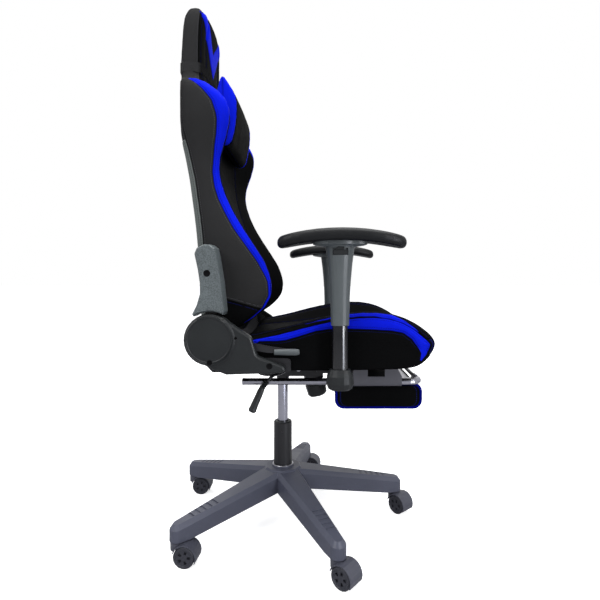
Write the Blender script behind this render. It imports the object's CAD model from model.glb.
"""Looks of the gaming chair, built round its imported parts."""

from math import atan2, cos, pi, radians, sin

import bmesh
import bpy
import numpy as np
from mathutils import Matrix, Vector, noise
from mathutils.bvhtree import BVHTree


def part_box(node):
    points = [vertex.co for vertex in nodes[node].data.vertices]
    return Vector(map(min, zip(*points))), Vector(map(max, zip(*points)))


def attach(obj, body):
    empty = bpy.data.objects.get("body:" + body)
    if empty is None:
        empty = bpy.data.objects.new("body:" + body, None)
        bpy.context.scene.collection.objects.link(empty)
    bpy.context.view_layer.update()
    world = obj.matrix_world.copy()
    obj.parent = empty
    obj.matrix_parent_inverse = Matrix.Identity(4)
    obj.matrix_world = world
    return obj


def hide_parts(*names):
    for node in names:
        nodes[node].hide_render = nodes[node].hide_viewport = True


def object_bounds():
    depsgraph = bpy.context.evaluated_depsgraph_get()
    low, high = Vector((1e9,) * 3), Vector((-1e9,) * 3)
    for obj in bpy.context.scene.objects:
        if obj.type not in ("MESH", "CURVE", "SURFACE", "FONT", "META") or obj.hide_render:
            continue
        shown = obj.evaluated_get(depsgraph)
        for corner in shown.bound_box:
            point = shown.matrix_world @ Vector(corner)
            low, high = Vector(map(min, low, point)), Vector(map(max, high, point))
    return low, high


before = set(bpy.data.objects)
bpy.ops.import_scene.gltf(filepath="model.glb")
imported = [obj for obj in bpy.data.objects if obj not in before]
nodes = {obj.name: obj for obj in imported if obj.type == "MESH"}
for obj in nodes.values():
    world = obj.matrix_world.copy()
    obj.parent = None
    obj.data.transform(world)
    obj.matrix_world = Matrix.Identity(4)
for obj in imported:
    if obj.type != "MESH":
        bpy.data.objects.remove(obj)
cad_low, cad_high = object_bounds()
SIDES = (("right", -1.0), ("left", 1.0))
MIRROR = np.array((1.0, -1.0, 1.0))
COLUMN_X = -0.040            # the gas column's axis; lengths along x are drawn from it
FLOOR_Z = 0.022              # heights are drawn from this far below the floor


def lowered(rows, height=0):
    """Table with a column of heights, moved from the drawing to the chair's own frame."""
    table = np.array(rows)
    table[:, height] -= FLOOR_Z
    return table


def section(rows):
    """Side view given as x from the column and drawn height."""
    return lowered(rows, height=1)


def add_object(name, data):
    """New object in the scene that holds a mesh, a curve, a lamp or a camera."""
    thing = bpy.data.objects.new(name, data)
    bpy.context.scene.collection.objects.link(thing)
    return thing


# ---------------------------------------------------------------- material building blocks
def feed(tree, value, socket):
    """Gives a socket a number, a colour, a vector or another node's output."""
    if isinstance(value, (int, float)):
        socket.default_value = value
    elif isinstance(value, tuple):
        socket.default_value = (*value, 1.0)[:len(socket.default_value)]
    else:
        tree.links.new(value, socket)


def add_node(tree, kind, inputs=(), **settings):
    """New shader node; inputs gives the value of each socket by its name or number."""
    node = tree.nodes.new("ShaderNode" + kind)
    for name, value in settings.items():
        setattr(node, name, value)
    for socket, value in dict(inputs).items():
        feed(tree, value, node.inputs[socket])
    return node


def first_output(tree, kind, inputs=(), **settings):
    """First output of a new shader node."""
    return add_node(tree, kind, inputs, **settings).outputs[0]


class Paint:
    """A Principled material under construction."""

    def __init__(self, name, rough, metallic=0.0, specular=0.5):
        self.material = bpy.data.materials.new(name)
        self.material.use_nodes = True
        self.tree = self.material.node_tree
        self.shader = self.tree.nodes["Principled BSDF"]
        self.set("Roughness", rough)
        self.set("Metallic", metallic)
        self.set("Specular IOR Level", specular)
        self.place = add_node(self.tree, "TexCoord").outputs["Object"]
        self.last_bump = None

    def set(self, socket, value):
        feed(self.tree, value, self.shader.inputs[socket])

    def maths(self, operation, *values):
        return first_output(self.tree, "Math", enumerate(values), operation=operation)

    def times(self, first, second):
        return self.maths("MULTIPLY", first, second)

    def noise(self, scale, detail=2.0, rough=0.5, place=None):
        inputs = {"Scale": scale, "Detail": detail, "Roughness": rough, "Vector": place or self.place}
        return first_output(self.tree, "TexNoise", inputs)

    def cells(self, scale):
        inputs = {"Scale": scale, "Vector": self.place}
        return first_output(self.tree, "TexVoronoi", inputs, feature="SMOOTH_F1")

    def split(self, vector):
        return add_node(self.tree, "SeparateXYZ", {0: vector}).outputs

    def attribute(self, name):
        return self.split(add_node(self.tree, "Attribute", attribute_name=name).outputs["Vector"])

    def ramp(self, value, low, high, to_low=0.0, to_high=1.0):
        return first_output(self.tree, "MapRange", enumerate((value, low, high, to_low, to_high)))

    def mix(self, share, first, second):
        return add_node(self.tree, "Mix", {0: share, 6: first, 7: second}, data_type="RGBA").outputs[2]

    def bump(self, height, depth, strength=1.0):
        """Raises the surface by up to depth metres where height is 1."""
        inputs = {"Strength": strength, "Distance": depth, "Height": height}
        if self.last_bump is not None:
            inputs["Normal"] = self.last_bump
        self.last_bump = first_output(self.tree, "Bump", inputs)
        self.set("Normal", self.last_bump)


def scaled(colour, k):
    return tuple(min(1.0, c * k) for c in colour)


def moulded(name, colour, rough, grain=1500.0, depth=0.00006, specular=0.25, speckle=0.0):
    """Moulded plastic: fine spark-eroded grain, faint scuffs, an uneven sheen and perhaps dark speckles."""
    paint = Paint(name, rough, specular=specular)
    broad = paint.noise(14.0, 3.0)
    scuff = paint.ramp(paint.noise(60.0, 6.0, 0.75), 0.56, 0.72)
    tone = paint.mix(broad, scaled(colour, 0.86), scaled(colour, 1.12))
    if speckle:
        spots = paint.ramp(paint.noise(430.0, 2.0), 0.42, 0.62, 0.0, speckle)
        tone = paint.mix(spots, tone, scaled(colour, 0.3))
    paint.set("Base Color", paint.mix(paint.times(scuff, 0.25), tone, scaled(colour, 1.5)))
    uneven = paint.ramp(broad, 0.3, 0.7, rough - 0.07, rough + 0.06)
    paint.set("Roughness", paint.maths("ADD", uneven, paint.times(scuff, 0.06)))
    paint.bump(paint.cells(grain), depth)
    return paint.material


def coated(name, colour, rough, specular=0.3, peel=0.00008):
    """Powder-coated steel; peel is the depth of its orange-peel surface."""
    paint = Paint(name, rough, specular=specular)
    broad = paint.noise(20.0, 3.0)
    paint.set("Base Color", paint.mix(broad, scaled(colour, 0.85), scaled(colour, 1.15)))
    paint.set("Roughness", paint.ramp(broad, 0.3, 0.7, rough - 0.06, rough + 0.08))
    paint.bump(paint.noise(700.0, 2.0), peel)
    return paint.material


def plated(name, colour, rough):
    """Bright metal with faint drawing lines and smudges."""
    paint = Paint(name, rough, metallic=1.0)
    smudge = paint.noise(35.0, 4.0, 0.6)
    paint.set("Base Color", paint.mix(smudge, colour, scaled(colour, 0.88)))
    paint.set("Roughness", paint.ramp(smudge, 0.35, 0.75, rough, rough + 0.10))
    inputs = {0: paint.place, 1: (60.0, 1500.0, 1500.0)}
    stretched = first_output(paint.tree, "VectorMath", inputs, operation="MULTIPLY")
    paint.bump(paint.noise(1.0, 1.0, place=stretched), 0.00001)
    return paint.material


def tube_like(material, low, high, depth):
    """Bends the look of flat faces between two x values, as on the drawn-out oval of an arm's post."""
    tree = material.node_tree
    normal = tree.nodes["Principled BSDF"].inputs["Normal"]
    place = add_node(tree, "TexCoord").outputs["Object"]
    x = first_output(tree, "SeparateXYZ", {0: place})
    across = first_output(tree, "MapRange", enumerate((x, low, high, -1.0, 1.0)))
    square = first_output(tree, "Math", {0: across, 1: across}, operation="MULTIPLY")
    inputs = {"Distance": depth, "Height": square, "Normal": normal.links[0].from_socket}
    feed(tree, first_output(tree, "Bump", inputs, invert=True), normal)


STITCH_FROM_SEAM = 0.0050
STITCH_PITCH = 0.0052
STITCH_LENGTH = 0.0036
RIB_PITCH = 0.0016
WARP_PITCH = 0.0012


def hide(name, colour, rough, thread, specular=0.003):
    """Artificial leather: pebbled grain, creases, darkened seams and rows of stitches beside them."""
    paint = Paint(name, rough, specular=specular)
    broad = paint.noise(9.0, 4.0)
    pores = paint.cells(620.0)
    creases = paint.noise(55.0, 5.0, 0.7)
    tone = paint.mix(broad, scaled(colour, 0.84), scaled(colour, 1.14))
    tone = paint.mix(paint.ramp(pores, 0.55, 0.9, 0.0, 0.35), tone, scaled(colour, 0.55))
    distance, along, drawn = paint.attribute("seam")
    tone = paint.mix(paint.ramp(distance, 0.0004, 0.0022, 0.85, 0.0), tone, scaled(colour, 0.18))
    row = paint.maths("COMPARE", distance, STITCH_FROM_SEAM, 0.00055)
    beat = paint.maths("MODULO", paint.maths("ADD", along, 5.0), STITCH_PITCH)
    dash = paint.maths("LESS_THAN", beat, STITCH_LENGTH)
    stitch = paint.times(paint.times(row, dash), drawn)
    paint.set("Base Color", paint.mix(stitch, tone, thread))
    paint.set("Roughness", paint.ramp(creases, 0.3, 0.7, rough - 0.05, rough + 0.07))
    paint.bump(pores, 0.00012, 0.8)
    paint.bump(creases, 0.00050, 0.5)
    paint.bump(stitch, 0.00050)
    return paint.material


def woven(name, colour, front_colour, change):
    """Elastic webbing: ribs across, a fine weave between them; it is darker in front of an x value."""
    paint = Paint(name, 0.85, specular=0.05)
    distance, along, _ = paint.attribute("seam")
    ribs = paint.maths("SINE", paint.times(along, 2 * pi / RIB_PITCH))
    warp = paint.maths("SINE", paint.times(distance, 2 * pi / WARP_PITCH))
    fuzz = paint.noise(900.0, 3.0)
    ahead = paint.ramp(paint.split(paint.place)[0], change - 0.004, change + 0.004)
    tones = [paint.mix(fuzz, scaled(c, 0.6), scaled(c, 1.5)) for c in (colour, front_colour)]
    paint.set("Base Color", paint.mix(ahead, *tones))
    paint.set("Sheen Weight", 0.03)
    paint.bump(paint.maths("ADD", paint.times(ribs, warp), fuzz), 0.00025)
    return paint.material


# ---------------------------------------------------------------- materials of the chair
BLACK = (0.0030, 0.0031, 0.0033)
GREY = (0.0215, 0.0215, 0.0220)
REAR_GREY = (0.086, 0.097, 0.094)
BLUE = (0.0032, 0.0100, 0.50)
STRAP_FRONT = (0.0030, 0.0030, 0.0032)
STRAP_CHANGE_X = -0.197 + COLUMN_X
black_hide = hide("black_leather", BLACK, 0.50, thread=(0.006, 0.008, 0.06))
grey_hide = hide("grey_leather", GREY, 0.60, thread=(0.06, 0.06, 0.065))
rear_hide = hide("rear_grey_leather", REAR_GREY, 0.55, thread=(0.04, 0.04, 0.04), specular=0.12)
blue_hide = hide("blue_leather", BLUE, 0.45, thread=(0.004, 0.006, 0.20), specular=0.006)
webbing = woven("webbing_look", GREY, STRAP_FRONT, STRAP_CHANGE_X)
base_nylon = moulded("base_nylon_look", (0.062, 0.066, 0.092), 0.42)
caster_nylon = moulded("caster_nylon_look", (0.052, 0.054, 0.072), 0.40, specular=0.35)
tread_nylon = moulded("tread_look", (0.030, 0.031, 0.040), 0.5, grain=900.0)
cover_plastic = moulded("cover_plastic_look", (0.0110, 0.0125, 0.0135), 0.40, grain=1100.0, depth=0.0001,
                        specular=0.22)
grained_plastic = moulded("grained_plastic_look", (0.092, 0.108, 0.113), 0.40, grain=520.0, depth=0.00045,
                          specular=0.3, speckle=0.55)
sleeve_plastic = moulded("sleeve_plastic_look", (0.066, 0.076, 0.080), 0.40, specular=0.3)
pad_skin = moulded("arm_pad_skin", (0.0060, 0.0066, 0.0074), 0.46, grain=900.0, depth=0.0001, specular=0.14)
hole_dark = moulded("hole_dark", (0.0020, 0.0020, 0.0024), 0.6, specular=0.05)
black_paint = coated("black_paint", (0.010, 0.010, 0.012), 0.36)
gloss_paint = coated("gloss_paint", (0.0050, 0.0052, 0.0066), 0.16, specular=0.55, peel=0.000006)
grey_paint = coated("grey_paint", (0.060, 0.060, 0.072), 0.42)
chrome = plated("chrome_look", (0.30, 0.30, 0.34), 0.16)
zinc = plated("zinc_look", (0.36, 0.36, 0.39), 0.28)

SLEEVE_WALL = 0.008          # how far an arm's sleeve reaches past its post, along x
post_low, post_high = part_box("arm_bracket_right")
tube_like(gloss_paint, post_low.x, post_high.x, 0.0040)
tube_like(sleeve_plastic, post_low.x - SLEEVE_WALL, post_high.x + SLEEVE_WALL, 0.0060)

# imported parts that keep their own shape, by their material
PLAIN_LOOKS = (
    (base_nylon, "star_base"),
    (black_paint, "gas_column_tube mech_housing mech_seat_plate lift_lever seat_frame recline_lever"),
    (black_paint, "back_frame"),
    (cover_plastic, "column_bushing tension_knob lift_lever_grip"),
    (sleeve_plastic, "recline_lever_grip"),
    (zinc, "piston_rod release_button tilt_pivot_pin tilt_spring"),
    (chrome, "gas_cylinder footrest_tube footrest_pad_frame"))
SIDE_LOOKS = (
    (black_paint, "recliner_bracket back_arm"),
    (cover_plastic, "recliner_cover arm_foot_cap arm_trigger"),
    (grained_plastic, "back_arm_cover"),
    (gloss_paint, "arm_bracket"),
    (sleeve_plastic, "arm_sleeve"),
    (grey_paint, "footrest_rail"))
CASTER_LOOKS = ((zinc, "caster_stem"), (caster_nylon, "caster_hood"), (tread_nylon, "caster_wheels"))


def paint_packed_parts(table, endings):
    for look, names in table:
        for name in names.split():
            for ending in endings:
                materials = nodes[name + ending].data.materials
                materials.clear()
                materials.append(look)


paint_packed_parts(PLAIN_LOOKS, ("",))
paint_packed_parts(SIDE_LOOKS, ("_right", "_left"))
paint_packed_parts(CASTER_LOOKS, ("_1", "_2", "_3", "_4", "_5"))


# ---------------------------------------------------------------- surfaces
def blur(array, reach, axis, wrap=False):
    """Gaussian average of a sampled surface along one of its directions; reach is in samples."""
    count = array.shape[axis]
    span = int(3 * reach)
    total = np.zeros_like(array)
    weight = 0.0
    for step in range(-span, span + 1):
        w = float(np.exp(-0.5 * (step / reach) ** 2))
        index = np.arange(count) + step
        index = index % count if wrap else np.clip(index, 0, count - 1)
        total += w * np.take(array, index, axis=axis)
        weight += w
    return total / weight


def refine(array, times, axis, wrap=False):
    """Straight-line samples between the given ones."""
    count = array.shape[axis]
    last = count if wrap else count - 1
    t = np.arange(last * times + (0 if wrap else 1)) / times
    low = np.clip(np.floor(t).astype(int), 0, last - 1)
    share = (t - low).reshape([-1 if k == axis else 1 for k in range(array.ndim)])
    a = np.take(array, low % count, axis=axis)
    b = np.take(array, (low + 1) % count, axis=axis)
    return a * (1 - share) + b * share


def arc_length(line):
    """Way along a line at each of its points."""
    steps = np.linalg.norm(np.diff(line, axis=0), axis=1)
    return np.concatenate([[0.0], np.cumsum(steps)])


def points_at(places, length, line):
    """Points of a line at the given lengths along it."""
    return np.stack([np.interp(places, length, line[:, k]) for k in range(line.shape[1])], axis=1)


def closed(line):
    """A ring of points with its first point once more at the end."""
    return np.concatenate([line, line[:1]])


def evenly_round(ring, count):
    """Evenly spaced points round a ring."""
    length = arc_length(closed(ring))
    return points_at(np.linspace(0, length[-1], count, endpoint=False), length, closed(ring))


def crowded(marks, counts, share):
    """Places from mark to mark, as many as counts says; share, 0 to 1, draws them to the marks."""
    places = []
    for low, high, count in zip(marks[:-1], marks[1:], counts):
        t = np.arange(count) / count
        eased = 0.5 - 0.5 * np.cos(pi * t)
        places.append(low + (high - low) * ((1 - share) * t + share * eased))
    return np.concatenate(places + [marks[-1:]])


def lay(line, marks, faces):
    """Columns of a skin along one section: marks are the seams' places, faces the counts between."""
    place = crowded(marks, faces, 0.75)
    return points_at(place, arc_length(line), line), place


def folded(column, ends):
    """Column on the right half of a row of faces that matches a column anywhere in it."""
    return min(column, 2 * ends[-1] - 1 - column)


def zone_of(column, ends):
    """Number of the zone a column of faces lies in; ends holds the column after each zone's last."""
    return int(np.searchsorted(ends, folded(column, ends), side="right"))


def outward(grid, centre, wrap_rows=False, wrap_cols=False):
    """Unit normals of a grid of points, on the side that looks away from its centre."""
    def slope(axis, wrap):
        if wrap:
            return np.roll(grid, -1, axis) - np.roll(grid, 1, axis)
        return np.gradient(grid, axis=axis)
    across = np.cross(slope(1, wrap_cols), slope(0, wrap_rows))
    across /= np.maximum(np.linalg.norm(across, axis=2, keepdims=True), 1e-12)
    return across if np.sum(across * (grid - centre)) >= 0 else -across


def ripple(grid, scale, seed):
    """Slow unevenness, from -1 to 1, at each point of a grid."""
    flat = grid.reshape(-1, 3)
    values = [noise.noise(Vector(p) * scale + Vector((seed, 0.0, 0.0))) for p in flat]
    return np.array(values).reshape(grid.shape[:2])


def padding(field, puff=(0.0, 1.0), pinch=(0.0, 1.0), folds=(0.0, 1.0, 1.0)):
    """Height of upholstery by its distance from the seams.

    puff is (height, reach), pinch is (depth, reach) and folds is (height, pitch, reach)."""
    distance, along = field[:, :, 0], field[:, :, 1]
    swell = puff[0] * (1 - np.exp(-distance / puff[1])) - pinch[0] * np.exp(-(distance / pinch[1]) ** 2)
    return swell + folds[0] * np.sin(along * 2 * pi / folds[1]) * np.exp(-distance / folds[2])


def seam_field(grid, place, marks_of_row):
    """Distance to the nearest seam, the way along it, and 1 where stitches are drawn."""
    field = np.ones(grid.shape)
    for row, (places, marks) in enumerate(zip(place, marks_of_row)):
        field[row, :, 0] = np.abs(places[:, None] - np.array(marks)[None, :]).min(axis=1)
    steps = np.linalg.norm(np.diff(grid, axis=0), axis=2)
    field[:, :, 1] = np.concatenate([np.zeros((1, grid.shape[1])), np.cumsum(steps, axis=0)])
    return field


def ring_field(distance, along):
    """The same as seam_field, from arrays that already hold the distance and the way along."""
    distance, along = np.broadcast_arrays(distance, along)
    return np.stack([distance, along, np.ones(distance.shape)], axis=2)


def skin(name, grid, kinds, materials, seam, wrap_rows=False, wrap_cols=False, caps=()):
    """Mesh over a grid of points; kinds gives each face's material and seam the stitching."""
    rows, cols = grid.shape[:2]
    verts = [tuple(p) for p in grid.reshape(-1, 3)]
    faces, slots = [], []
    for i in range(rows if wrap_rows else rows - 1):
        for j in range(cols if wrap_cols else cols - 1):
            i2, j2 = (i + 1) % rows, (j + 1) % cols
            faces.append((i * cols + j, i * cols + j2, i2 * cols + j2, i2 * cols + j))
            slots.append(int(kinds[i, j]))
    stitching = [tuple(s) for s in seam.reshape(-1, 3)]
    for row in caps:
        centre = len(verts)
        verts.append(tuple(grid[row].mean(axis=0)))
        stitching.append((1.0, 0.0, 0.0))
        for j in range(cols):
            pair = (row * cols + j, row * cols + (j + 1) % cols)
            faces.append((*(pair if row else pair[::-1]), centre))
            slots.append(int(kinds[min(row, rows - 2), j]))
    mesh = bpy.data.meshes.new(name)
    mesh.from_pydata(verts, [], faces)
    mesh.polygons.foreach_set("material_index", slots)
    for material in materials:
        mesh.materials.append(material)
    layer = mesh.attributes.new("seam", "FLOAT_VECTOR", "POINT")
    layer.data.foreach_set("vector", [c for s in stitching for c in s])
    tidy = bmesh.new()
    tidy.from_mesh(mesh)
    bmesh.ops.remove_doubles(tidy, verts=tidy.verts, dist=0.00005)
    bmesh.ops.recalc_face_normals(tidy, faces=tidy.faces)
    tidy.to_mesh(mesh)
    tidy.free()
    mesh.shade_smooth()
    return add_object(name, mesh)


def plain_faces(grid, wrap_cols=False):
    """Face materials of a grid that has one material."""
    rows, cols = grid.shape[:2]
    return np.zeros((rows - 1, cols if wrap_cols else cols - 1), int)


def pipe(name, points, radius, material, body):
    """Closed round cord through the points, such as a piping."""
    curve = bpy.data.curves.new(name, "CURVE")
    curve.dimensions = "3D"
    curve.bevel_depth = radius
    curve.bevel_resolution = 2
    curve.use_fill_caps = True
    line = curve.splines.new("POLY")
    line.points.add(len(points) - 1)
    for point, target in zip(points, line.points):
        target.co = (*point, 1.0)
    line.use_cyclic_u = True
    line.use_smooth = True
    curve.materials.append(material)
    thing = add_object(name, curve)
    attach(thing, body)
    return thing


def spanned(points, low, high):
    """Points moved and stretched so that they span a box."""
    out = points.copy()
    for k in range(3):
        a, b = points[..., k].min(), points[..., k].max()
        out[..., k] = low[k] + (points[..., k] - a) * (high[k] - low[k]) / (b - a)
    return out


def ray_tree(mesh):
    """What rays can be cast at, to find places on a mesh."""
    return BVHTree.FromPolygons([tuple(v.co) for v in mesh.vertices],
                                [tuple(p.vertices) for p in mesh.polygons])


# ---------------------------------------------------------------- back
# height, half width, side rear x, middle rear x, bolster crest x, middle front x
BACK = lowered((
    (0.5270, 0.2120, -0.1580, -0.1590, -0.1280, -0.1300),
    (0.5475, 0.2300, -0.1710, -0.1730, -0.1180, -0.1190),
    (0.5590, 0.2330, -0.1730, -0.1765, -0.1050, -0.1140),
    (0.5700, 0.2345, -0.1740, -0.1810, -0.0860, -0.1100),
    (0.5920, 0.2355, -0.1750, -0.1870, -0.0510, -0.1010),
    (0.6040, 0.2358, -0.1754, -0.1890, -0.0375, -0.0950),
    (0.6230, 0.2360, -0.1758, -0.1925, -0.0205, -0.0880),
    (0.6420, 0.2362, -0.1762, -0.1945, -0.0130, -0.0860),
    (0.6614, 0.2370, -0.1767, -0.1965, -0.0113, -0.0860),
    (0.6806, 0.2380, -0.1774, -0.1975, -0.0135, -0.0868),
    (0.7190, 0.2400, -0.1787, -0.2000, -0.0270, -0.0932),
    (0.7573, 0.2400, -0.1815, -0.2035, -0.0515, -0.1060),
    (0.7957, 0.2397, -0.1848, -0.2072, -0.0770, -0.1195),
    (0.8340, 0.2384, -0.1895, -0.2125, -0.1005, -0.1320),
    (0.8724, 0.2368, -0.1950, -0.2180, -0.1188, -0.1435),
    (0.9110, 0.2352, -0.2005, -0.2230, -0.1310, -0.1525),
    (0.9400, 0.2355, -0.2060, -0.2270, -0.1334, -0.1575),
    (0.9680, 0.2380, -0.2110, -0.2310, -0.1290, -0.1618),
    (1.0067, 0.2440, -0.2195, -0.2350, -0.1159, -0.1665),
    (1.0450, 0.2500, -0.2215, -0.2370, -0.1063, -0.1710),
    (1.0640, 0.2512, -0.2215, -0.2375, -0.1067, -0.1730),
    (1.0834, 0.2515, -0.2215, -0.2375, -0.1121, -0.1755),
    (1.1020, 0.2510, -0.2220, -0.2375, -0.1235, -0.1775),
    (1.1180, 0.2485, -0.2225, -0.2380, -0.1440, -0.1800),
    (1.1320, 0.2420, -0.2235, -0.2390, -0.1640, -0.1820),
    (1.1460, 0.2180, -0.2290, -0.2410, -0.1830, -0.1840),
    (1.1580, 0.1820, -0.2370, -0.2430, -0.1890, -0.1860),
    (1.1780, 0.1450, -0.2445, -0.2470, -0.1950, -0.1895),
    (1.2100, 0.1420, -0.2470, -0.2495, -0.2000, -0.1955),
    (1.2600, 0.1400, -0.2450, -0.2480, -0.2005, -0.1965),
    (1.3100, 0.1370, -0.2425, -0.2455, -0.2000, -0.1955),
    (1.3375, 0.1310, -0.2405, -0.2435, -0.1990, -0.1925),
    (1.3575, 0.1210, -0.2375, -0.2400, -0.1990, -0.1900),
    (1.3665, 0.1120, -0.2325, -0.2345, -0.2010, -0.1920),
    (1.3715, 0.1000, -0.2270, -0.2280, -0.2055, -0.1960),
    (1.3740, 0.0800, -0.2210, -0.2220, -0.2095, -0.2030)))
# where the blue strip starts on the side of the back: height, x from the column
STRIP_EDGE = lowered(((0.527, -0.118), (0.569, -0.084), (0.609, -0.034), (0.643, -0.0175), (0.677, -0.0205),
                      (0.721, -0.0440), (0.793, -0.096), (0.829, -0.116), (0.862, -0.132),
                      (0.894, -0.142), (0.927, -0.146), (0.981, -0.141), (1.011, -0.136),
                      (1.039, -0.1335), (1.054, -0.1354), (1.084, -0.1450), (1.1131, -0.1690),
                      (1.1300, -0.1890), (1.1450, -0.2050), (1.1560, -0.2200)))
JUNCTION = 1.1530 - FLOOR_Z  # where the headrest meets the shoulders
DARK_EDGE = 0.6196 - FLOOR_Z  # the side panel is black below this height
cover_low, cover_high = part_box("back_cover")
COVER_BOTTOM, COVER_TOP = cover_low.z, cover_high.z + 0.014
RING_STEP = 16               # samples from one point of back_ring to the next
SIDE_START = 2 * RING_STEP   # the samples of a half ring where its side, corner and crest lie
CORNER = 3 * RING_STEP
CREST = 7 * RING_STEP
HALF_RING = 11 * RING_STEP
HEAD_EDGE = int(6.4 * RING_STEP)   # on the headrest the side's front seam lies here,
HEAD_CREST = int(7.3 * RING_STEP)  # and the front's outer seam here
PANEL_EDGE = int(9.6 * RING_STEP)  # the middle panel's seam
LEAST_GAP = 0.003            # between the cover's edge and the strip
COVER_FADE = 0.03            # height over which the cover's edge leads into the corner above it
# faces in each zone of a half ring: two under the cover, the side, blue strip, bolster and middle panel
BACK_FACES = ((10, 8, 12, 7, 9, 12))
BACK_ROW_SPACING = 0.010


def back_ring(row):
    """Points round the back at one height, from the middle of the rear over the right side."""
    half, side_rear, rear, crest, front = row[1:]
    depth = crest - side_rear
    rise = crest - front
    ring = [(rear, 0.0), (rear + 0.30 * (side_rear - rear), 0.54), (side_rear - 0.0015, 0.87),
            (side_rear + 0.0040, 0.965), (side_rear + 0.18 * depth, 1.0),
            (side_rear + 0.80 * depth, 0.995), (crest - 0.05 * depth, 0.955), (crest, 0.89),
            (crest - 0.28 * rise, 0.78), (crest - 0.66 * rise, 0.64), (crest - 0.93 * rise, 0.48)]
    whole = [(x, -half * y) for x, y in ring] + [(front, 0.0)] + [(x, half * y) for x, y in ring[:0:-1]]
    return [(x + COLUMN_X, y, row[0]) for x, y in whole]


def back_surface():
    """Dense samples of the back: one closed ring for each millimetre and a half of height."""
    heights = np.arange(BACK[0, 0], BACK[-1, 0] + 0.0001, 0.0015)
    rings = np.array([back_ring(row) for row in points_at(heights, BACK[:, 0], BACK)])
    dense = refine(rings, RING_STEP, 1, wrap=True)
    crisp = blur(dense, 3.0, 1, wrap=True)
    dense = blur(dense, 9.0, 1, wrap=True)
    place = np.arange(dense.shape[1])
    from_crest = np.minimum(place, dense.shape[1] - place) - CREST
    ridge = 0.85 * np.exp(-(from_crest / 9.0) ** 2)[None, :, None]
    dense = dense * (1 - ridge) + crisp * ridge
    inside = np.clip(np.minimum(heights - heights[0], heights[-1] - heights) / 0.012, 0, 1)[:, None, None]
    dense = dense * (1 - inside) + blur(dense, 5.0, 0) * inside
    dense[:, :, 2] = heights[:, None]
    half = BACK[:, 1].max()
    return heights, spanned(dense, (BACK[:, 3].min() + COLUMN_X, -half, heights[0]),
                            (BACK[:, 4].max() + COLUMN_X, half, heights[-1]))


def parting(z):
    """Front edge of the back cover, where it meets the cushion's side."""
    side_rear = np.interp(z, BACK[:, 0], BACK[:, 2])
    thick = np.interp(z + FLOOR_Z, (0.56, 0.80, 0.90, 1.000), (0.015, 0.015, 0.0145, 0.011))
    return side_rear + thick + COLUMN_X


def back_seams(z, half, length):
    """Places of four seams on a half ring: cover, strip's edge, strip's inner edge, middle panel."""
    total, corner, crest = length[-1], length[CORNER], length[CREST - 2]

    def reached(x):
        """Where the side first reaches x, looking between two samples."""
        side = slice(SIDE_START, CREST + 4)
        return float(np.interp(x, np.maximum.accumulate(half[side, 0]), length[side]))

    cover = reached(parting(min(max(z, COVER_BOTTOM), COVER_TOP)))
    if z > COVER_TOP:
        cover += (corner - cover) * min(1.0, (z - COVER_TOP) / COVER_FADE)
    if z > JUNCTION:
        edge = length[HEAD_EDGE]
        crest = inner = length[HEAD_CREST]
    else:
        edge = reached(np.interp(z, STRIP_EDGE[:, 0], STRIP_EDGE[:, 1]) + COLUMN_X)
        # over the shoulders the strip also covers the bolster's inner side
        wide = np.interp(z, (1.030, 1.060, 1.100, JUNCTION), (0.0, 0.006, 0.030, 0.045))
        inner = crest + min(wide, 0.45 * (total - crest))
    if JUNCTION - 0.05 < z <= JUNCTION:
        edge = max(edge, corner + 0.004)
    edge = min(max(edge, cover + LEAST_GAP), crest - 0.004)
    inner = min(inner, total - 0.03)
    middle = min(max(length[PANEL_EDGE], inner + 0.010), total - 0.012)
    return [cover, edge, inner, middle]


def back_rows():
    """Rows of the back's skin from the bottom up, with the places and seams along each."""
    heights, dense = back_surface()
    marks = [heights[0], COVER_BOTTOM, DARK_EDGE, COVER_TOP, JUNCTION, heights[-1]]
    levels = crowded(marks, [max(3, round(gap / BACK_ROW_SPACING)) for gap in np.diff(marks)], 0.65)
    grid, places, seams = [], [], []
    for z in levels:
        at = np.interp(z, heights, np.arange(len(heights)))
        k = min(int(at), len(heights) - 2)
        half = (dense[k] * (1 - at + k) + dense[k + 1] * (at - k))[:HALF_RING + 1]
        length = arc_length(half)
        marks = back_seams(z, half, length)
        right, place = lay(half, [0.0, 0.5 * marks[0], *marks, length[-1]], BACK_FACES)
        grid.append(np.concatenate([right, right[::-1][1:-1] * MIRROR]))
        places.append(np.concatenate([place, place[::-1][1:-1]]))
        seams.append(marks)
    return levels, np.array(grid), np.array(places), seams


def back_kind(zone, z):
    """Material of a face by its zone, counted from the rear, and its height: black, grey or blue."""
    if zone <= 2:
        return int(z >= COVER_BOTTOM and (zone < 2 or z > DARK_EDGE))
    return 2 if zone == 3 and z < JUNCTION else 0


def lean_border(points, levels, side):
    """Makes the lower side panel's border fall towards the front."""
    near = np.exp(-((levels - DARK_EDGE) / 0.030) ** 2)[:, None]
    shift = np.clip(-0.28 * (points[:, :, 0] + 0.104), -0.02, 0.02) * near
    for j in np.nonzero(side)[0]:
        wanted = points[:, j, 2] + shift[:, j]
        column = points[:, j].copy()
        points[:, j] = points_at(wanted, column[:, 2], column)
        points[:, j, 2] = wanted


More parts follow.
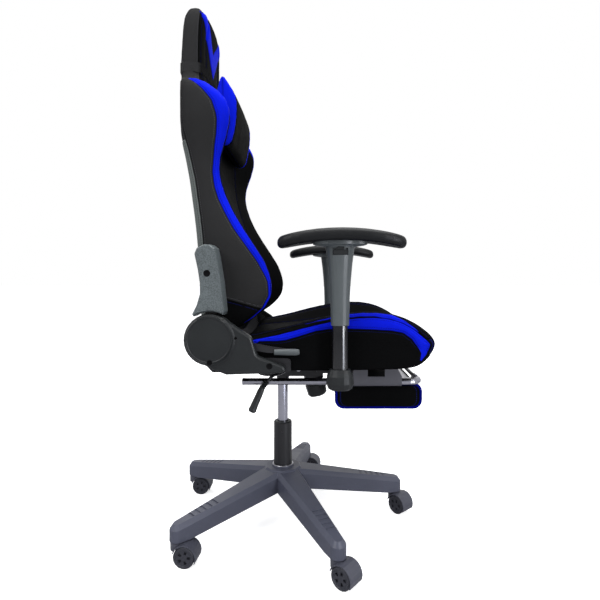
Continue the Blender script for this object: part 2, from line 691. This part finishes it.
def make_back_cover(levels, points, out, field, ends):
    """The cover over the back shell stands a little proud of the cushion's rear."""
    cols = points.shape[1]
    rows = [i for i, z in enumerate(levels) if COVER_BOTTOM - 1e-6 <= z <= COVER_TOP + 1e-6]
    order = list(range(cols - ends[1], cols)) + list(range(ends[1] + 1))
    points, out, field = (array[rows][:, order] for array in (points, out, field))
    rim = np.minimum(levels[rows] - COVER_BOTTOM, COVER_TOP - levels[rows])[:, None]
    edge_gap = np.minimum(field[:, :, 0], 0.02)
    proud = 0.0022 * (1 - np.exp(-edge_gap / 0.003)) * (1 - np.exp(-rim / 0.004)) - 0.0004
    points = points + out * proud[:, :, None]
    field[:, :, 0] = np.minimum(field[:, :, 0], rim)
    cover = skin("back_cover_skin", points, plain_faces(points), (rear_hide,), field)
    solid = cover.modifiers.new("thickness", "SOLIDIFY")
    solid.thickness = 0.002
    solid.offset = -1.0
    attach(cover, "back")
    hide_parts("back_cover")


def make_back():
    levels, grid, places, seams = back_rows()
    cols = grid.shape[1]
    ends = np.cumsum(BACK_FACES)
    zones = [zone_of(j, ends) for j in range(cols)]
    kinds = np.array([[back_kind(zone, z) for zone in zones] for z in 0.5 * (levels[:-1] + levels[1:])])
    side = np.array([ends[1] <= folded(j, ends) <= ends[2] for j in range(cols)])
    field = seam_field(grid, places, seams)
    distance = np.minimum(field[:, :, 0], np.abs(levels - JUNCTION)[:, None])
    to_dark = np.minimum(distance, np.abs(levels - DARK_EDGE)[:, None])
    field[:, :, 0] = np.where(side[None, :], to_dark, distance)
    out = outward(grid, grid.mean(axis=1, keepdims=True), wrap_cols=True)
    swell = padding(field, puff=(0.0022, 0.018), pinch=(0.0020, 0.0035), folds=(0.00035, 0.031, 0.014))
    swell += 0.0005 * ripple(grid, 11.0, 3.0)
    fade = np.clip((levels[-1] - levels) / 0.010, 0, 1)[:, None]
    points = grid + out * (swell * fade)[:, :, None]
    lean_border(points, levels, side)
    cushion = skin("back_cushion_skin", points, kinds, (black_hide, grey_hide, blue_hide), field,
                   wrap_cols=True, caps=(0, len(levels) - 1))
    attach(cushion, "back")
    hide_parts("back_cushion", "back_frame")
    make_back_cover(levels, points, out, field, ends)
    return cushion


# lower and upper border of the headrest's blue V: place across and height of both ends
CHEVRON = np.array((((0.0, 1.228), (0.117, 1.356)), ((0.0, 1.297), (0.072, 1.366)))) - (0.0, FLOOR_Z)
INLAY_ACROSS, INLAY_ALONG = 14, 26
INLAY_RISE = 0.0009


def inlay(name, borders, material, body, tree):
    """Raised panel sewn on the front: a band between two lines given by their ends."""
    (low_start, low_end), (high_start, high_end) = borders
    grid, flags = [], []
    for t in np.arange(INLAY_ALONG + 1) / INLAY_ALONG:
        low = low_start + (low_end - low_start) * t
        high = high_start + (high_end - high_start) * t
        for j in range(INLAY_ACROSS + 1):
            s = 0.5 - 0.5 * cos(pi * j / INLAY_ACROSS)
            y, z = low + (high - low) * s
            hit, normal, _, _ = tree.ray_cast(Vector((0.5, y, z)), Vector((-1, 0, 0)))
            rim = min(s, 1 - s) * np.linalg.norm(high - low)
            rise = INLAY_RISE * (2 - np.exp(-rim / 0.0012) - np.exp(-rim / 0.010)) - 0.0002
            grid.append(tuple(hit + normal * rise))
            flags.append((rim, t * np.linalg.norm(low_end - low_start), 1.0))
    shape = (INLAY_ALONG + 1, INLAY_ACROSS + 1, 3)
    points = np.array(grid).reshape(shape)
    patch = skin(name, points, plain_faces(points), (material,), np.array(flags).reshape(shape))
    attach(patch, body)


back_tree = ray_tree(make_back().data)
for side, way in SIDES:
    inlay(f"headrest_chevron_{side}", CHEVRON * (way, 1.0), blue_hide, "back", back_tree)


# ---------------------------------------------------------------- seat
# side view of the seat down its middle and along its side bolsters, point for point
SEAT_MIDDLE = section((
    (-0.086, 0.4720), (0.050, 0.4720), (0.200, 0.4730), (0.285, 0.4760), (0.303, 0.4795), (0.316, 0.4875),
    (0.330, 0.4990), (0.348, 0.5070), (0.365, 0.5120), (0.3742, 0.5210), (0.3750, 0.5330),
    (0.3655, 0.5440), (0.344, 0.5520), (0.300, 0.5570), (0.240, 0.5570), (0.170, 0.5530),
    (0.095, 0.5470), (0.020, 0.5410), (-0.045, 0.5370), (-0.083, 0.5350), (-0.093, 0.5270),
    (-0.095, 0.5100), (-0.095, 0.4850)))
SEAT_BOLSTER = section((
    (-0.086, 0.4720), (0.050, 0.4720), (0.200, 0.4735), (0.285, 0.4755), (0.319, 0.4775), (0.335, 0.4870),
    (0.349, 0.5010), (0.359, 0.5170), (0.3625, 0.5300), (0.361, 0.5400), (0.351, 0.5505),
    (0.3320, 0.5660), (0.309, 0.5800), (0.277, 0.5940), (0.240, 0.6020), (0.190, 0.6035),
    (0.103, 0.5920), (0.030, 0.5690), (-0.020, 0.5575), (-0.078, 0.5500), (-0.0925, 0.5410),
    (-0.095, 0.5200), (-0.095, 0.4850)))
# across the seat: place, share of the bolster's shape, and how far the side view is drawn in
SEAT_STATIONS = ((0.0, 0.0, 0.0), (0.060, 0.02, 0.0), (0.120, 0.06, 0.0), (0.150, 0.26, 0.0),
                 (0.172, 0.54, 0.0), (0.192, 0.84, 0.0), (0.212, 1.0, 0.0), (0.236, 1.0, 0.0010),
                 (0.2475, 1.0, 0.0060), (0.2525, 1.0, 0.0120), (0.2550, 1.0, 0.0200))
# lower border of the blue strip on the seat's side: x from the column, height
SEAT_STRIP = section(((-0.062, 0.531), (-0.0287, 0.5380), (0.0207, 0.5428), (0.0527, 0.5517),
                      (0.0877, 0.5629), (0.1190, 0.5676), (0.1637, 0.5683), (0.2128, 0.5669),
                      (0.2598, 0.5640), (0.2857, 0.5590), (0.3044, 0.5452), (0.3208, 0.5229),
                      (0.3319, 0.5021), (0.3500, 0.4600)))
# samples past a side cap: the strip's upper border, both borders of the thin band on the crest, the
# bolster's inner seam and the middle panel
STRIP_TOP, BAND_LOW, BAND_HIGH, INNER, CENTRE = 13, 19, 32, 47, 74
CAP_SAMPLES = 24             # samples on a side cap, from its spine to its rim
CAP_SPINE = 0.535            # drawn height of that spine
SPINE_ENDS = (-0.075, 0.245)  # and the x of its ends
UPPER_FROM = 0.50            # drawn height; the seat has no strips and no seams below it
STRIPS_FROM = -0.075         # x from the column; the seat has no strips behind it
SEAMS_FROM = -0.125          # x that the seams start at
THINNEST_STRIP = 0.0030
SEAT_FACES = ((7, 6, 3, 4, 7, 8, 14))
SEAT_ROWS = 150
MEASURED_AT = 60             # samples from the middle to where the way round the seat is measured


def drawn_in(outline, amount):
    """Closed outline moved inwards by an amount, and by more round the nose."""
    ahead = np.roll(outline, -1, 0) - outline
    behind = outline - np.roll(outline, 1, 0)
    way = ahead / np.linalg.norm(ahead, axis=1)[:, None] + behind / np.linalg.norm(behind, axis=1)[:, None]
    way /= np.linalg.norm(way, axis=1)[:, None]
    nose = 1 + 0.55 * np.clip((outline[:, :1] - 0.300) / 0.040, 0, 1)
    return outline + amount * nose * np.stack([-way[:, 1], way[:, 0]], axis=1)


def seat_surface():
    """Dense samples: rows go round the side view, columns from the right cap over to the left."""
    stations = []
    for y, share, amount in SEAT_STATIONS:
        outline = SEAT_MIDDLE + (SEAT_BOLSTER - SEAT_MIDDLE) * share
        shrunk = drawn_in(outline, amount)
        shrunk[:, 1] = np.where(outline[:, 1] < 0.478 - FLOOR_Z,
                                np.minimum(shrunk[:, 1], outline[:, 1] + 0.25 * amount), shrunk[:, 1])
        stations.append(np.stack([shrunk[:, 0] + COLUMN_X, np.full(len(shrunk), y), shrunk[:, 1]], axis=1))
    dense = refine(refine(np.array(stations), 10, 0), 12, 1, wrap=True)
    dense = blur(dense, 8.0, 1, wrap=True)
    whole = blur(np.concatenate([dense[::-1] * MIRROR, dense[1:]]), 5.0, 0)
    wide = SEAT_STATIONS[-1][0]
    return spanned(np.swapaxes(whole, 0, 1),
                   (SEAT_MIDDLE[:, 0].min() + COLUMN_X, -wide, SEAT_MIDDLE[:, 1].min()),
                   (SEAT_MIDDLE[:, 0].max() + COLUMN_X, wide, SEAT_BOLSTER[:, 1].max()))


def cap_line(rim):
    """Samples from the spine of the right side cap out to a point of its rim."""
    spine = np.array((min(max(rim[0], SPINE_ENDS[0]), SPINE_ENDS[1]), rim[1], CAP_SPINE - FLOOR_Z))
    steps = np.linspace(0, 1, CAP_SAMPLES, endpoint=False)[:, None]
    return spine[None, :] * (1 - steps) + rim[None, :] * steps


def strip_start(cap, length):
    """Place on a cap's line where it leaves the part below the blue strip, 0 if it is never there."""
    over = cap[:, 2] - np.interp(cap[:, 0] - COLUMN_X, SEAT_STRIP[:, 0], SEAT_STRIP[:, 1])
    below = np.nonzero(over < 0)[0]
    if len(below) == 0:
        return 0.0
    last = int(below.max())
    if last == CAP_SAMPLES - 1:
        return length[last]
    return length[last] + (length[last + 1] - length[last]) * over[last] / (over[last] - over[last + 1])


def seat_seams(rim, cap, length):
    """Places of six seams on half a row, and the zones that are blue there."""
    x, z = rim[0] - COLUMN_X, rim[2] + FLOOR_Z
    past_cap = length[CAP_SAMPLES:]
    top = past_cap[STRIP_TOP]
    upper = z > UPPER_FROM and x > STRIPS_FROM
    fade = np.clip((x + 0.066) / 0.03, 0, 1) * np.clip((z - 0.497) / 0.02, 0, 1)
    width = (top - strip_start(cap, length)) * fade if upper else 0.0
    lower = max(top - max(width, THINNEST_STRIP), 0.006)
    on_top = upper and z > CAP_SPINE
    # the band opens along the crest, and at the front it runs up against the strip
    spread = np.interp(x, (0.060, 0.130, 0.170, 0.262, 0.300, 0.318), (0, 0.35, 1, 1, 0.35, 0)) * on_top
    shut = np.interp(x, (0.215, 0.250), (0, 1)) * on_top
    band_middle = np.interp(BAND_LOW + 0.62 * (BAND_HIGH - BAND_LOW), np.arange(len(past_cap)), past_cap)
    band_low = band_middle - spread * (band_middle - past_cap[BAND_LOW]) - 0.0006
    band_high = band_middle + spread * (past_cap[BAND_HIGH] - band_middle) + 0.0006
    band_low += shut * (top + 0.0010 - band_low)
    if shut > 0.5:
        band_high += (1 - spread) * (top + 0.0030 - band_high)
    band_low = max(band_low, top + 0.0010)
    band_high = max(band_high, band_low + 0.0012)
    inner = max(past_cap[INNER], band_high + 0.004)
    blue = {1} if width > THINNEST_STRIP else set()
    if spread > 0.06:
        joined = blue and band_low - top < 0.002
        blue = blue | ({2, 3} if joined else {3})
    return [lower, top, band_low, band_high, inner, past_cap[CENTRE]], blue


def seat_rows():
    """Rows of the seat's skin round its side view, with the places, seams and blue zones of each."""
    dense = seat_surface()
    count, half_cols = dense.shape[0], dense.shape[1] // 2
    round_length = arc_length(closed(dense[:, half_cols + MEASURED_AT]))
    spots = np.linspace(0, round_length[-1], SEAT_ROWS, endpoint=False)
    grid, places, seams, blues = [], [], [], []
    for at in np.interp(spots, round_length, np.arange(count + 1)):
        k = int(at) % count
        share = at - int(at)
        line = dense[k] * (1 - share) + dense[(k + 1) % count] * share
        cap = cap_line(line[0])
        half = np.concatenate([cap, line[:half_cols + 1]])
        length = arc_length(half)
        marks, blue = seat_seams(line[0], cap, length)
        right, place = lay(half, [0.0, *marks, length[-1]], SEAT_FACES)
        grid.append(np.concatenate([right, right[::-1][1:] * MIRROR]))
        places.append(np.concatenate([place, place[::-1][1:]]))
        seams.append(marks)
        blues.append(blue)
    return np.array(grid), np.array(places), seams, blues


def make_seat():
    grid, places, seams, blues = seat_rows()
    ends = np.cumsum(SEAT_FACES)
    zones = [zone_of(j, ends) for j in range(grid.shape[1] - 1)]
    kinds = np.array([[int(zone in blue) for zone in zones] for blue in blues])
    middle = grid[:, grid.shape[1] // 2]
    upper = (middle[:, 2] > UPPER_FROM - FLOOR_Z) & (middle[:, 0] > SEAMS_FROM)
    upper = upper.astype(float)[:, None]
    upper = blur(upper, 1.5, 0, wrap=True)
    field = seam_field(grid, places, seams)
    field[:, :, 0] = np.where(upper > 0.5, field[:, :, 0], 0.05)
    out = outward(grid, np.array((0.1, 0.0, 0.53 - FLOOR_Z)), wrap_rows=True)
    swell = padding(field, puff=(0.0022, 0.020), pinch=(0.0020, 0.0035), folds=(0.0004, 0.033, 0.015))
    swell = swell * upper + 0.0006 * ripple(grid, 10.0, 7.0)
    swell *= np.clip((grid[:, :, 2] - 0.474 + FLOOR_Z) / 0.010, 0, 1) * np.clip(places / 0.02, 0, 1)
    points = grid + out * swell[:, :, None]
    seat = skin("seat_cushion_skin", points, kinds, (black_hide, blue_hide), field, wrap_rows=True)
    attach(seat, "seat")
    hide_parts("seat_cushion")


make_seat()


# ---------------------------------------------------------------- neck pillow
# side view of the pillow, a wedge with its thin edge up: x from the column, height
PILLOW_SIDE = section((
    (-0.1475, 1.1880), (-0.1420, 1.1925), (-0.1355, 1.1820), (-0.1225, 1.1620), (-0.1110, 1.1430),
    (-0.1070, 1.1260), (-0.1072, 1.1040), (-0.1090, 1.0800), (-0.1125, 1.0560), (-0.1170, 1.0350),
    (-0.1215, 1.0190), (-0.1330, 1.0110), (-0.1500, 1.0140), (-0.1640, 1.0280), (-0.1700, 1.0520),
    (-0.1710, 1.0800), (-0.1680, 1.1080), (-0.1610, 1.1360), (-0.1540, 1.1620)))
# place across and how much of the side view is left there, towards the flat ends
PILLOW_ROWS = ((0.0, 1.0), (0.040, 1.0), (0.080, 1.0), (0.1000, 0.998), (0.1180, 0.994), (0.1285, 0.980),
               (0.1330, 0.940), (0.1350, 0.890), (0.1362, 0.780), (0.1370, 0.560), (0.1374, 0.300))
PILLOW_END = 0.122           # where the blue end panels start
PILLOW_HALF = PILLOW_ROWS[-1][0]
PILLOW_RING = 96


def stacked(outline, rows):
    """Grid of copies of a side view, each at its place across and drawn in to its size."""
    middle = outline.mean(axis=0)
    grid = []
    for y, size in rows:
        ring = middle + (outline - middle) * size
        grid.append(np.stack([ring[:, 0], np.full(len(ring), y), ring[:, 1]], axis=1))
    return np.array(grid)


def both_halves(rows):
    """Rows from the middle outwards, joined with their mirror image."""
    return np.concatenate([rows[:0:-1] * np.array((-1, 1)), rows])


def make_pillow():
    outline = blur(evenly_round(PILLOW_SIDE, 4 * PILLOW_RING), 7.0, 0, wrap=True)[::4]
    # the skin has 4, then 5, 4 and 3 rows for each row of the table
    spots = np.interp(np.arange(37), (0, 8, 13, 21, 36), (0, 2, 3, 5, len(PILLOW_ROWS) - 1))
    rows = both_halves(points_at(spots, np.arange(len(PILLOW_ROWS)), np.array(PILLOW_ROWS)))
    ys = rows[:, 0]
    grid = stacked(outline, rows)
    forward = np.clip((grid[:, :, 0] - outline[:, 0].mean()) / 0.03, -1.6, 1)
    belly = (1 - (ys / PILLOW_HALF) ** 2)[:, None] * np.where(forward > 0, 0.0004, 0.0040) * forward
    grid[:, :, 0] += belly + COLUMN_X
    around = arc_length(closed(outline))
    rim, whole = around[:-1], around[-1]
    lower = rim[int(np.argmin(outline[:, 1]))]
    upper = rim[int(np.argmax(outline[:, 1]))]
    to_upper = np.abs(rim - upper)
    seam_z = np.minimum(np.abs(rim - lower), np.minimum(to_upper, whole - to_upper))
    seam_z = np.minimum(seam_z, 0.035)[None, :]
    seam_y = np.abs(np.abs(ys) - PILLOW_END)[:, None]
    field = ring_field(np.minimum(seam_z, seam_y), np.where(seam_y < seam_z, rim[None, :], ys[:, None]))
    out = outward(grid, grid.mean(axis=(0, 1)), wrap_cols=True)
    swell = padding(field, pinch=(0.0012, 0.003), folds=(0.0005, 0.019, 0.010))
    swell += 0.0013 * ripple(grid, 16.0, 2.0)
    calm = np.clip((0.136 - np.abs(ys)) / 0.01, 0, 1)[:, None]
    points = grid + out * (swell * calm)[:, :, None]
    kinds = plain_faces(points, wrap_cols=True)
    kinds[np.abs(0.5 * (ys[1:] + ys[:-1])) > PILLOW_END, :] = 1
    pillow = skin("neck_pillow_skin", points, kinds, (black_hide, blue_hide), field, wrap_cols=True,
                  caps=(0, len(ys) - 1))
    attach(pillow, "back")
    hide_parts("neck_pillow")


make_pillow()


# ---------------------------------------------------------------- footrest pad
# share of the half width, and how much of the side view is left there
FOOTPAD_ROWS = ((0.0, 1.0), (0.35, 1.0), (0.7, 1.0), (0.9, 0.995), (1.0, 0.985), (1.0, 0.96), (1.0, 0.90),
                (1.0, 0.75), (1.0, 0.5), (1.0, 0.25))
FOOTPAD_CORNER = 0.018
FOOTPAD_RING = 88
PIPING_RADIUS = 0.0034
PIPING_INSET = 0.0012


def rounded_box(low, high, corner):
    """Outline in x and z with round corners."""
    points = []
    for cx, cz, start in ((high.x - corner, high.z - corner, 0), (low.x + corner, high.z - corner, 90),
                          (low.x + corner, low.z + corner, 180), (high.x - corner, low.z + corner, 270)):
        for k in range(7):
            a = radians(start + 15 * k)
            points.append((cx + corner * cos(a), cz + corner * sin(a)))
    return np.array(points)


def make_footpad():
    low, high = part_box("footrest_pad")
    half = high.y
    outline = evenly_round(rounded_box(low, high, FOOTPAD_CORNER), FOOTPAD_RING)
    rows = both_halves(refine(np.array(FOOTPAD_ROWS) * (half, 1.0), 4, 0))
    grid = stacked(outline, rows)
    rim = np.abs(np.abs(rows[:, :1]) - half) + (1 - rows[:, 1:]) * 0.05
    field = ring_field(rim, arc_length(closed(outline))[:-1][None, :])
    out = outward(grid, grid.mean(axis=(0, 1)), wrap_cols=True)
    at_end = rows[:, 1:] < 0.97
    swell = 0.0012 * ripple(grid, 14.0, 9.0) + padding(field, puff=(0.0030, 0.015)) * at_end
    points = grid + out * swell[:, :, None]
    points[:, :, 2] = np.minimum(points[:, :, 2], high.z)
    footpad = skin("footrest_pad_skin", points, plain_faces(points, wrap_cols=True), (black_hide,), field,
                   wrap_cols=True, caps=(0, len(rows) - 1))
    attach(footpad, "footpad")
    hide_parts("footrest_pad")
    for side, way in SIDES:
        ring = [(x, way * (half - PIPING_INSET), z) for x, z in outline]
        cord = pipe(f"footrest_piping_{side}", ring, PIPING_RADIUS, blue_hide, "footpad")


make_footpad()


# ---------------------------------------------------------------- arm pads and pillow strap
def plain_copy(name, node, material):
    """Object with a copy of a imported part's mesh, in one material."""
    mesh = nodes[node].data.copy()
    mesh.materials.clear()
    mesh.materials.append(material)
    return add_object(name, mesh)


def make_arm_pad(side):
    """Moulded pad: the plain part's shape, rounded all over."""
    thing = plain_copy(f"arm_pad_skin_{side}", f"arm_pad_{side}", pad_skin)
    remesh = thing.modifiers.new("even", "REMESH")
    remesh.mode = "VOXEL"
    remesh.voxel_size = 0.0030
    remesh.use_smooth_shade = True
    relax = thing.modifiers.new("relax", "SMOOTH")
    relax.factor = 0.5
    relax.iterations = 10
    graph = bpy.context.evaluated_depsgraph_get()
    made = bpy.data.meshes.new_from_object(thing.evaluated_get(graph))
    thing.modifiers.clear()
    thing.data = made
    points = np.empty(len(made.vertices) * 3, np.float32)
    made.vertices.foreach_get("co", points)
    points = spanned(points.reshape(-1, 3), *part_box(f"arm_pad_{side}"))
    made.vertices.foreach_set("co", points.ravel())
    made.update()
    made.shade_smooth()
    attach(thing, f"arm_{side}")
    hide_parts(f"arm_pad_{side}")


for side, _ in SIDES:
    make_arm_pad(side)

STRAP_BEND = 0.14            # radius that its weave is measured along
STRAP_TURN_X = -0.190 + COLUMN_X
STRAP_REAR_STRETCH = 1.150
STRAP_FRONT_STRETCH = 1.30


def make_strap():
    """Woven band: the plain part's loop with its weave laid along it."""
    strap = plain_copy("pillow_strap_skin", "pillow_strap", webbing)
    mesh = strap.data
    low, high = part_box("pillow_strap")
    layer = mesh.attributes.get("seam") or mesh.attributes.new("seam", "FLOAT_VECTOR", "POINT")
    values = []
    for vertex in mesh.vertices:
        x, y, z = vertex.co
        values += [z - low.z, atan2(y, high.x - x) * STRAP_BEND, 0.0]
        # the band lies on the padded headrest, and its ends reach the pillow
        stretch = STRAP_REAR_STRETCH if x < STRAP_TURN_X else STRAP_FRONT_STRETCH
        vertex.co.x = STRAP_TURN_X + (x - STRAP_TURN_X) * stretch
    layer.data.foreach_set("vector", values)
    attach(strap, "back")
    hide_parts("pillow_strap")


make_strap()


# ---------------------------------------------------------------- small rigid details
def turned(name, rings, material, place, axis, body, count, hollow=False):
    """Round detail from (radius, height) pairs, standing on place along axis; a hollow one is a ring."""
    shape = bmesh.new()
    loops = []
    for radius, height in rings:
        turns = [2 * pi * i / count for i in range(count)]
        loops.append([shape.verts.new((radius * cos(a), radius * sin(a), height)) for a in turns])
    pairs = list(zip(loops[:-1], loops[1:]))
    if hollow:
        pairs.append((loops[-1], loops[0]))
    for a, b in pairs:
        for i in range(count):
            shape.faces.new((a[i], a[(i + 1) % count], b[(i + 1) % count], b[i]))
    if not hollow:
        shape.faces.new(loops[0][::-1])
        shape.faces.new(loops[-1])
    mesh = bpy.data.meshes.new(name)
    shape.to_mesh(mesh)
    shape.free()
    mesh.materials.append(material)
    mesh.shade_smooth()
    mesh.set_sharp_from_angle(angle=radians(35))
    thing = add_object(name, mesh)
    turn = Vector(axis).to_track_quat("Z", "Y").to_matrix().to_4x4()
    thing.matrix_world = Matrix.Translation(place) @ turn
    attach(thing, body)


def make_hub_ring():
    """Bright ring on the hub, round the gas column's tube."""
    low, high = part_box("gas_column_tube")
    inner = (high.x - low.x) / 2 + 0.0004
    outer = inner + 0.0032
    place = ((low.x + high.x) / 2, (low.y + high.y) / 2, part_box("star_base")[1].z + 0.0001)
    rings = ((inner, 0.0), (outer, 0.0), (outer, 0.0012), (outer - 0.0006, 0.0020), (inner, 0.0020))
    turned("hub_trim_ring", rings, zinc, place, (0, 0, 1), "base", 40, hollow=True)


def plug(name, node, x, z, radius, body):
    """Dark disc with a thin rim, on a cover's outer face where the cover has a round hole."""
    way = 1.0 if node.endswith("left") else -1.0
    # the ray lands beside the hole's middle, and the disc goes on the plane it finds there
    beside = 0.8 * radius
    start = Vector((x + beside, way, z))
    hit, normal, _, _ = ray_tree(nodes[node].data).ray_cast(start, Vector((0, -way, 0)))
    place = Vector((x, hit.y + beside * normal.x / normal.y, z))
    rings = ((radius, -0.0006), (radius, 0.0003), (radius - 0.0008, 0.0006), (radius - 0.0018, 0.0001))
    turned(name, rings, hole_dark, place, normal, body, 28)


make_hub_ring()
for side, _ in SIDES:
    plug(f"arm_cover_hole_{side}", f"back_arm_cover_{side}", -0.1865, 0.6925 - FLOOR_Z, 0.0074, "back")
    plug(f"recliner_hole_front_{side}", f"recliner_cover_{side}", -0.0516, 0.4905 - FLOOR_Z, 0.0068, "seat")
    plug(f"recliner_hole_rear_{side}", f"recliner_cover_{side}", -0.1802, 0.4991 - FLOOR_Z, 0.0058, "seat")


# ---------------------------------------------------------------- floor, light and camera
FLOOR_REACH = 30.0


def lamp(name, place, aim, size, power, colour=(1.0, 1.0, 1.0)):
    """Rectangular area light that points at aim."""
    light = bpy.data.lights.new(name, "AREA")
    light.shape = "RECTANGLE"
    light.size, light.size_y = size
    light.energy = power
    light.color = colour
    thing = add_object(name, light)
    thing.location = place
    thing.rotation_euler = (Vector(aim) - Vector(place)).to_track_quat("-Z", "Y").to_euler()
    return thing


def cleared(holder):
    """Empty node tree of a material or a world."""
    holder.use_nodes = True
    holder.node_tree.nodes.clear()
    return holder.node_tree


def make_floor():
    """White floor: it glows for the camera, and gives back less light than that to the chair."""
    mesh = bpy.data.meshes.new("floor")
    corners = ((-1, -1), (1, -1), (1, 1), (-1, 1))
    mesh.from_pydata([(FLOOR_REACH * x, FLOOR_REACH * y, 0) for x, y in corners], [], [(0, 1, 2, 3)])
    floor = add_object("floor", mesh)
    floor.location.z = cad_low.z - 0.0003
    material = bpy.data.materials.new("floor_white")
    tree = cleared(material)
    white = first_output(tree, "BsdfDiffuse", {"Color": (0.92, 0.92, 0.92)})
    glow = first_output(tree, "Emission", {"Strength": 0.72})
    seen = first_output(tree, "AddShader", {0: white, 1: glow})
    bounce = first_output(tree, "BsdfDiffuse", {"Color": (0.50, 0.50, 0.52)})
    to_camera = add_node(tree, "LightPath").outputs["Is Camera Ray"]
    surface = first_output(tree, "MixShader", {0: to_camera, 1: bounce, 2: seen})
    add_node(tree, "OutputMaterial", {0: surface})
    mesh.materials.append(material)


def make_world():
    """Studio that is dark behind the chair and bright above and in front of it, seen as plain white."""
    world = bpy.data.worlds.new("studio")
    bpy.context.scene.world = world
    tree = cleared(world)

    def maths(operation, first, second):
        return first_output(tree, "Math", {0: first, 1: second}, operation=operation)

    place = add_node(tree, "TexCoord").outputs["Generated"]
    way = add_node(tree, "SeparateXYZ", {0: place}).outputs
    deep = maths("SUBTRACT", way[1], way[2])
    strength = first_output(tree, "MapRange", enumerate((deep, -0.35, 0.55, 0.62, 0.06)))
    soft = first_output(tree, "Background", {"Color": (0.93, 0.95, 1.0), "Strength": strength})
    white = first_output(tree, "Background", {"Color": (1.0, 1.0, 1.0), "Strength": 1.0})
    path = add_node(tree, "LightPath").outputs
    direct = maths("MAXIMUM", path["Is Camera Ray"], path["Is Transmission Ray"])
    direct = maths("MAXIMUM", direct, path["Is Glossy Ray"])
    both = first_output(tree, "MixShader", {0: direct, 1: soft, 2: white})
    add_node(tree, "OutputWorld", {0: both})


make_floor()
make_world()
lamp("key", (-1.9, -2.0, 2.5), (0.0, 0.0, 0.7), (1.6, 1.6), 52.0)
lamp("strip", (2.2, -2.45, 1.3), (0.1, -0.2, 0.6), (0.5, 2.4), 55.0)
# a tall light that only shows as the highlight on glossy pieces, such as the arm posts
glint = lamp("glint", (1.0, -1.29, 0.55), (0.10, -0.29, 0.50), (0.22, 1.08), 8.5, (0.84, 0.88, 1.0))
glint.visible_diffuse = False
lamp("top", (0.3, -0.2, 3.2), (0.0, 0.0, 0.0), (2.4, 2.0), 95.0)
lamp("rear", (-1.5, 2.4, 2.6), (0.0, 0.0, 0.7), (1.2, 1.2), 14.0)

EYE = (COLUMN_X + 0.0826, -1.32, 0.686 - FLOOR_Z)
camera = bpy.data.cameras.new("camera")
camera.sensor_width = 36.0   # this and the lens are in millimetres
camera.lens = 28.602
camera.shift_x = -0.0212
camera.shift_y = -0.0395
camera.clip_end = 100.0
view = add_object("camera", camera)
view.location = EYE
view.rotation_euler = (radians(90.0), 0.0, 0.0)
bpy.context.scene.camera = view
bpy.context.scene.view_settings.view_transform = "Standard"
bpy.context.scene.view_settings.look = "None"
